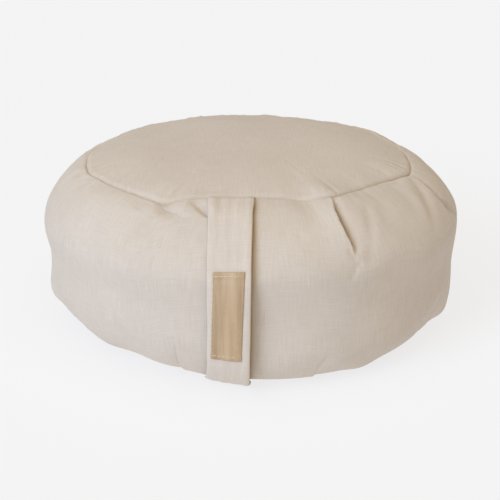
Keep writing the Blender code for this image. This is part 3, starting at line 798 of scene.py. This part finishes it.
def label_strip(strap):
    """The label's run on the strap's outer face."""
    heights = strap.place[:, 1]
    ends = (LABEL_TOP, LABEL_BOTTOM)
    first, last = (float(np.interp(-end.height, -heights, strap.along)) for end in ends)
    along = np.linspace(first, last, LABEL_ROWS + 1)
    share = np.linspace(0, 1, LABEL_ROWS + 1)
    width, east = (top + (bottom - top) * share for top, bottom in zip(LABEL_TOP[1:], LABEL_BOTTOM[1:]))
    place, out, seats = (
        np.stack([np.interp(along, strap.along, column) for column in values.T], axis=1)
        for values in (strap.place, strap.out, strap.seat)
    )
    out /= np.linalg.norm(out, axis=1, keepdims=True)
    side = np.linspace(-1, 1, LABEL_SIDES + 1)
    strap_width = np.interp(along, strap.along, strap.widths)
    strap_east = np.interp(along, strap.along, strap.easts)
    rows = []
    for row in range(len(along)):
        across = (east[row] + side * width[row] / 2 - strap_east[row]) / (strap_width[row] / 2)
        under = np.interp(across, np.linspace(-1, 1, STRAP_SIDES + 1), seats[row])
        rows.append(under + STRAP_THICKNESS + strap_lift(across, along[row]) + LABEL_GAP)
    return Strip(along, place, out, np.array(rows), width, east)


def strip_point(strip, row, across, level):
    """A point of a strip: across it from -1 to 1, and at a level above its seat."""
    side = np.linspace(-1, 1, strip.seat.shape[1])
    above = np.interp(np.clip(across, -1, 1), side, strip.seat[row]) + level
    spot = strip.place[row][None, :] + strip.out[row][None, :] * above[:, None]
    return np.stack([strip.easts[row] + across * strip.widths[row] / 2, -spot[:, 0], spot[:, 1]], axis=1)


def strip_object(name, strip, thickness, lift):
    """A closed band of cloth with rounded edges. lift(across, along) raises its outer face. Its east edge
    gets a crease value, for painted shade where its material reads it.
    """
    sides, half = strip.seat.shape[1] - 1, thickness / 2
    turns = np.linspace(0, math.pi, EDGE_STEPS + 2)[1:-1]
    outer = [(across, 1.0) for across in np.linspace(-1, 1, sides + 1)]
    outer += [(1.0 + math.sin(turn) * EDGE_ROUND, math.cos(turn)) for turn in turns]
    across, level = np.vstack([outer, -np.array(outer)]).T
    turned = np.clip((across - 1) / EDGE_ROUND, 0, 1)
    points, maps_at = [], []
    for row in range(len(strip.along)):
        raised = lift(across, strip.along[row]) * (level + 1) / 2
        made = strip_point(strip, row, across / (1 + EDGE_ROUND), half + half * level + raised)
        points += made.tolist()
        maps_at.append(np.stack([made[:, 0] + MAP_EAST, np.full(len(made), -strip.along[row])], axis=1))
    loop, rows = len(across), len(strip.along)
    around = list(range(loop))
    faces = [*grid_quads(rows, loop), [(0, spot) for spot in around]]
    faces.append([(rows - 1, spot) for spot in reversed(around)])
    maps = [maps_at[row][spot] for face in faces for row, spot in face]
    band = mesh_of(name, points, [[row * loop + spot for row, spot in face] for face in faces], maps)
    # Painted shade on the band's rounded east edge
    add_shade(band, "crease", np.tile(EDGE_SHADE * turned, rows))
    return band


def strap_lift(across, down):
    """The strap's outer face: its ridges, which come and go, a soft wander, and a fall at its edges."""
    ridges = sum(row.height * bell(across - row.across, row.width) for row in STRAP_RIDGES)
    wander = STRAP_WANDER * np.sin(2.2 * across + 60 * down) * np.sin(95 * down + 1.0)
    edge = -STRAP_EDGE_FALL * np.clip(abs(across) - 0.93, 0, 1) / 0.07
    return ridges * (0.75 + 0.25 * np.sin(70 * down)) + wander + edge


def label_lift(across, from_end):
    """The label's outer face: soft waves across it, turned ends, and an edge that lifts to the east."""
    soft = LABEL_WAVE * np.cos(4.5 * across - 1.2) + LABEL_RIPPLE * np.sin(150 * from_end + 2 * across)
    hem = LABEL_HEM_HEIGHT * smooth((LABEL_HEM - from_end) / LABEL_HEM_STEP + 1)
    loose = smooth(from_end / LABEL_CURL_FROM)
    return soft + hem + LABEL_CURL * np.clip(across, 0, 1) ** LABEL_CURL_POWER * loose


def thread(name, starts, ends, radius):
    """Short raised stitches between pairs of points."""
    shape = bmesh.new()
    for start, end in zip(starts, ends):
        start, end = Vector(start), Vector(end)
        run = end - start
        turned = run.to_track_quat("Z", "Y").to_matrix().to_4x4()
        turned.translation = (start + end) / 2
        made = bmesh.ops.create_uvsphere(shape, u_segments=STITCH_SIDES, v_segments=STITCH_SIDES, radius=1)
        for vertex in made["verts"]:
            east, north, up = vertex.co
            vertex.co = turned @ Vector((east * radius, north * radius, up * run.length / 2))
    # The spheres' corners and faces come in no fixed order, so they are put in one
    for rank, vertex in enumerate(sorted(shape.verts, key=lambda vertex: tuple(vertex.co))):
        vertex.index = rank
    shape.verts.sort()
    by_corners = sorted(shape.faces, key=lambda face: sorted(vertex.index for vertex in face.verts))
    for rank, face in enumerate(by_corners):
        face.index = rank
    shape.faces.sort()
    mesh = bpy.data.meshes.new(name)
    shape.to_mesh(mesh)
    shape.free()
    mesh.shade_smooth()
    return linked(name, mesh)


class Shader:
    """A material's nodes, made one after another."""

    def __init__(self, name):
        self.material = bpy.data.materials.new(name)
        self.material.use_nodes = True
        self.tree = self.material.node_tree
        self.surface = self.tree.nodes["Principled BSDF"]

    def node(self, kind, inputs=(), **settings):
        """A new node, with inputs by name or number, each linked to an output or set to a value."""
        made = self.tree.nodes.new(kind)
        for key, value in settings.items():
            setattr(made, key, value)
        for key, value in dict(inputs).items():
            if isinstance(value, bpy.types.NodeSocket):
                self.tree.links.new(value, made.inputs[key])
            else:
                made.inputs[key].default_value = value
        return made

    def feed(self, name, output):
        """Link an output to one of the surface's sockets."""
        self.tree.links.new(output, self.surface.inputs[name])

    def math(self, operation, *values):
        return self.node("ShaderNodeMath", enumerate(values), operation=operation).outputs[0]

    def plus(self, first, second):
        return self.math("ADD", first, second)

    def times(self, first, second):
        return self.math("MULTIPLY", first, second)

    def scaled_map(self, east, north):
        """The weave map, in metres, times a scale for each direction."""
        inputs = {0: self.node("ShaderNodeUVMap", uv_map="weave").outputs[0], 1: (east, north, 1.0)}
        return self.node("ShaderNodeVectorMath", inputs, operation="MULTIPLY").outputs[0]

    def noise(self, vector, scale, detail):
        inputs = {"Vector": vector, "Scale": scale, "Detail": detail, "Roughness": 0.55}
        return self.node("ShaderNodeTexNoise", inputs, noise_dimensions="3D").outputs["Fac"]

    def woven(self, east, north, detail):
        """Noise on the weave map, at a scale for each direction."""
        return self.noise(self.scaled_map(east, north), 1.0, detail)

    def attribute(self, name):
        return self.node("ShaderNodeAttribute", attribute_name=name).outputs["Fac"]

    def ramp(self, factor, *stops):
        """Colours by a factor, between stops of a place and a colour."""
        made = self.node("ShaderNodeValToRGB", {0: factor})
        elements = made.color_ramp.elements
        for index, (place, colour) in enumerate(stops):
            element = elements[index] if index < 2 else elements.new(place)
            element.position = place
            element.color = (*colour, 1.0)
        return made.outputs[0]

    def tinted(self, colour, tint, share):
        """A colour times a tint, for a share of the whole."""
        inputs = {0: share, 6: colour, 7: tint}
        return self.node("ShaderNodeMix", inputs, data_type="RGBA", blend_type="MULTIPLY").outputs[2]

    def bump(self, height, distance, strength, **below):
        """A relief's normals. Normal= lays it over the relief below it."""
        inputs = {"Height": height, "Distance": distance, "Strength": strength, **below}
        return self.node("ShaderNodeBump", inputs).outputs[0]


def tones(colour, dark, light):
    """A darker and a lighter tone of a colour."""
    darker = tuple(channel * tone for channel, tone in zip(colour, dark))
    return darker, tuple(min(1.0, channel * tone) for channel, tone in zip(colour, light))


def linen(name, colour, shaded=False):
    """Natural plain-weave linen: uneven yarns both ways, slubs, faint flecks and a soft nap, with painted
    shade in its creases. The cover's has a painted shadow beside the strap."""
    shader = Shader(name)
    position = shader.node("ShaderNodeTexCoord").outputs["Object"]
    warp_slubs, weft_slubs = shader.woven(1500.0, 55.0, 2.0), shader.woven(55.0, 1500.0, 2.0)
    thick_warps, thick_wefts = shader.woven(620.0, 40.0, 1.0), shader.woven(40.0, 620.0, 1.0)
    broad = shader.noise(position, 14.0, 4.0)
    fine = shader.noise(position, 160.0, 3.0)
    # The yarns: bumps at each crossing, on a map that wanders a little
    crossings = shader.scaled_map(math.pi / YARN_PITCH, math.pi / YARN_PITCH)
    separate = shader.node("ShaderNodeSeparateXYZ", {0: crossings})
    wander = shader.times(shader.noise(position, 220.0, 2.0), 2.4)
    across = shader.math("SINE", shader.plus(separate.outputs[0], wander))
    along = shader.math("SINE", shader.plus(separate.outputs[1], wander))
    yarn = shader.math("POWER", shader.math("ABSOLUTE", shader.times(across, along)), 0.6)
    slubs = shader.plus(warp_slubs, shader.times(weft_slubs, 0.7))
    # Colour: two tones of yarn, patches, thick yarns, darker between the yarns, and a few flecks
    dark, light = tones(colour, (0.92, 0.905, 0.88), (1.05, 1.055, 1.06))
    tone = shader.ramp(shader.times(slubs, 0.59), (0.34, dark), (0.66, light))
    patches = shader.ramp(broad, (0.30, (0.965, 0.96, 0.95)), (0.70, (1.025, 1.025, 1.025)))
    thick = shader.times(shader.plus(thick_warps, thick_wefts), 0.5)
    streaks = shader.ramp(thick, (0.38, (0.982, 0.98, 0.976)), (0.62, (1.012, 1.012, 1.012)))
    between = shader.ramp(yarn, (0.05, (0.90, 0.885, 0.86)), (0.45, WHITE))
    flecks = shader.ramp(shader.woven(420.0, 190.0, 1.0), (0.73, WHITE), (0.80, (0.80, 0.74, 0.64)))
    for tint, share in ((patches, 1.0), (streaks, 1.0), (between, 0.35), (flecks, 0.5)):
        tone = shader.tinted(tone, tint, share)
    # Painted shade: the colour turns darker and warmer deep in folds and in the seam, for the light that is
    # caught between the walls of a fold
    crease = shader.attribute("crease")
    if shaded:
        # On the cover, a painted shadow beside the strap's east edge, where the strap hangs
        past = shader.attribute("past_strap")
        outside = shader.math("MAXIMUM", past, 0.0)
        strap_shadow_falloff = shader.math("EXPONENT", shader.times(outside, -1 / STRAP_SHADE_WIDTH))
        beside = shader.times(shader.math("GREATER_THAN", past, STRAP_SHADE_UNDER), strap_shadow_falloff)
        strength = shader.times(shader.attribute("hung"), STRAP_SHADE)
        crease = shader.math("MAXIMUM", crease, shader.times(beside, strength))
    painted_crease_shade = shader.ramp(crease, (0.0, WHITE), (0.45, (0.86, 0.79, 0.68)), (1.0, (0.55, 0.43, 0.28)))
    shader.feed("Base Color", shader.tinted(tone, painted_crease_shade, 1.0))
    yarn_bump = shader.bump(yarn, 0.00010, 0.28)
    slub_bump = shader.bump(slubs, 0.00014, 0.5, Normal=yarn_bump)
    soft_bump = shader.bump(fine, 0.0003, 0.25, Normal=slub_bump)
    shader.feed("Normal", soft_bump)
    rough = shader.plus(shader.times(slubs, 0.06), 0.84)
    shader.feed("Roughness", rough)
    shader.surface.inputs["Sheen Weight"].default_value = 0.12
    shader.surface.inputs["Sheen Roughness"].default_value = 0.55
    shader.surface.inputs["Specular IOR Level"].default_value = 0.25
    return shader.material


def satin_label(name, colour):
    """Woven satin: fine ribs across, long floats down, and a painted sheen of lighter bands, broadest along
    its middle, where it is also smoother.
    """
    shader = Shader(name)
    separate = shader.node("ShaderNodeSeparateXYZ", {0: shader.scaled_map(1.0, 1.0)})
    ribs = shader.math("SINE", shader.times(separate.outputs[1], math.tau / RIB_PITCH))
    floats = shader.woven(5200.0, 240.0, 2.0)
    # Painted sheen: paler streaks down the label and a broad lighter band along its middle stand in for the
    # satin's highlights, and they also make it smoother there
    middle = MAP_EAST + (LABEL_TOP.east + LABEL_BOTTOM.east) / 2 + SHINE_ASIDE
    from_middle = shader.math("SUBTRACT", separate.outputs[0], middle)
    shine = shader.math("COSINE", shader.times(from_middle, math.tau / SHINE_WIDTH))
    painted_sheen_bands = shader.plus(shader.times(shine, 0.10), shader.woven(230.0, 14.0, 2.0))
    dark, light = tones(colour, (0.84, 0.81, 0.77), (1.16, 1.19, 1.25))
    mixed = shader.plus(shader.times(floats, 0.35), shader.times(painted_sheen_bands, 0.65))
    shader.feed("Base Color", shader.ramp(mixed, (0.36, dark), (0.64, light)))
    height = shader.plus(shader.times(ribs, 0.35), floats)
    shader.feed("Normal", shader.bump(height, 0.00010, 0.6))
    rough = shader.plus(shader.times(painted_sheen_bands, -0.25), 0.58)
    shader.feed("Roughness", rough)
    shader.surface.inputs["Sheen Weight"].default_value = 0.15
    shader.surface.inputs["Specular IOR Level"].default_value = 0.5
    return shader.material


def yarn(name, colour):
    """Twisted sewing thread."""
    shader = Shader(name)
    twist = shader.noise(shader.node("ShaderNodeTexCoord").outputs["Object"], 1800.0, 2.0)
    shade = tuple(channel * 0.8 for channel in colour)
    shader.feed("Base Color", shader.ramp(twist, (0.3, shade), (0.7, colour)))
    shader.feed("Normal", shader.bump(twist, 0.0001, 0.5))
    shader.surface.inputs["Roughness"].default_value = 0.7
    return shader.material


def aimed(name, data, azimuth, elevation, distance, centre=(0, 0, 0)):
    """A new light or camera that looks at a point from an azimuth and an elevation in degrees."""
    turn, rise = math.radians(azimuth), math.radians(elevation)
    away = Vector((math.sin(turn) * math.cos(rise), -math.cos(turn) * math.cos(rise), math.sin(rise)))
    made = linked(name, data)
    made.location = Vector(centre) + away * distance
    made.rotation_euler = away.to_track_quat("Z", "Y").to_euler()
    return made


def studio():
    """A pale floor, a broad soft key from the front left, a soft light from above, and an even surround."""
    scene = bpy.context.scene
    scene.view_settings.view_transform = "Standard"
    bpy.ops.mesh.primitive_plane_add(size=60.0, location=(0, 0, 0))
    floor = bpy.context.object
    floor.name = "studio_floor"
    paint = Shader("pale_floor")
    paint.surface.inputs["Base Color"].default_value = (0.22, 0.22, 0.22, 1)
    paint.surface.inputs["Roughness"].default_value = 1.0
    paint.surface.inputs["Specular IOR Level"].default_value = 0.0
    paint.surface.inputs["Emission Color"].default_value = (0.995, 1.0, 1.015, 1)
    paint.surface.inputs["Emission Strength"].default_value = 0.71
    floor.data.materials.append(paint.material)
    world = bpy.data.worlds.new("surround")
    world.use_nodes = True
    background = world.node_tree.nodes["Background"]
    background.inputs["Color"].default_value = (1.0, 0.85, 0.74, 1)
    background.inputs["Strength"].default_value = 0.26
    scene.world = world
    for light in LIGHTS:
        lamp = bpy.data.lights.new(light.name, "SUN")
        lamp.energy = light.strength
        lamp.angle = math.radians(light.spread)
        lamp.color = light.colour
        aimed(light.name, lamp, light.azimuth, light.elevation, LIGHT_DISTANCE)


def photo_camera():
    """The camera at the photograph's angle."""
    data = bpy.data.cameras.new("photo_camera")
    data.lens = CAMERA_LENS
    centre = (CAMERA_ASIDE, 0, CAMERA_AIM_HEIGHT)
    camera = aimed("photo_camera", data, 0.0, CAMERA_ELEVATION, CAMERA_DISTANCE, centre)
    bpy.context.scene.camera = camera


def label_stitches(label_run, length):
    """The stitches across the label's two ends and down its west edge."""
    starts, ends = [], []
    step = length / LABEL_ROWS
    half = LABEL_TOP.width / 2

    def add_stitch(first_row, first_across, last_row, last_across):
        """A stitch from one row of the label and place across it to another."""
        for row, across, spots in ((first_row, first_across, starts), (last_row, last_across, ends)):
            lift = label_lift(across, step * min(row, LABEL_ROWS - row))
            raised = LABEL_THICKNESS + STITCH_RADIUS / 2 + lift
            spots.append(strip_point(label_run, row, np.array([across]), raised)[0].tolist())

    for row in (round(STITCH_INSET / step), LABEL_ROWS - round(STITCH_INSET / step)):
        place = STITCH_INSET / 2 - half
        while place + STITCH_LENGTH < half - STITCH_INSET / 2:
            add_stitch(row, place / half, row, (place + STITCH_LENGTH) / half)
            place += STITCH_LENGTH + STITCH_GAP
    for row in range(2, LABEL_ROWS - EDGE_STITCH_ROWS, EDGE_STITCH_ROWS):
        add_stitch(row, EDGE_STITCHES, row + EDGE_STITCH_ROWS, EDGE_STITCHES)
    return thread("label_stitches", starts, ends, STITCH_RADIUS)


def dress():
    """Make each piece, with its finish, its body and the node that it stands for."""
    cover = cover_mesh()
    cover.data.materials.append(linen("cover_linen", (0.655, 0.572, 0.492), shaded=True))
    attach(cover, "root")
    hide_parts("cushion")

    strap_run = strap_strip()
    strap = strip_object("carry_strap", strap_run, STRAP_THICKNESS, strap_lift)
    strap.data.materials.append(linen("strap_linen", (0.675, 0.590, 0.508)))
    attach(strap, "root")
    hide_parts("strap")

    label_run = label_strip(strap_run)
    top, bottom = label_run.along[0], label_run.along[-1]

    def lift(across, along):
        return label_lift(across, min(along - top, bottom - along))

    label = strip_object("blank_label", label_run, LABEL_THICKNESS, lift)
    label.data.materials.append(satin_label("label_satin", (0.488, 0.336, 0.191)))
    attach(label, "root")
    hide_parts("label")
    label_length = float(bottom - top)

    stitches = label_stitches(label_run, label_length)
    stitches.data.materials.append(yarn("pale_thread", (0.78, 0.69, 0.52)))
    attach(stitches, "root")


dress()
studio()
photo_camera()
bpy.context.view_layer.update()
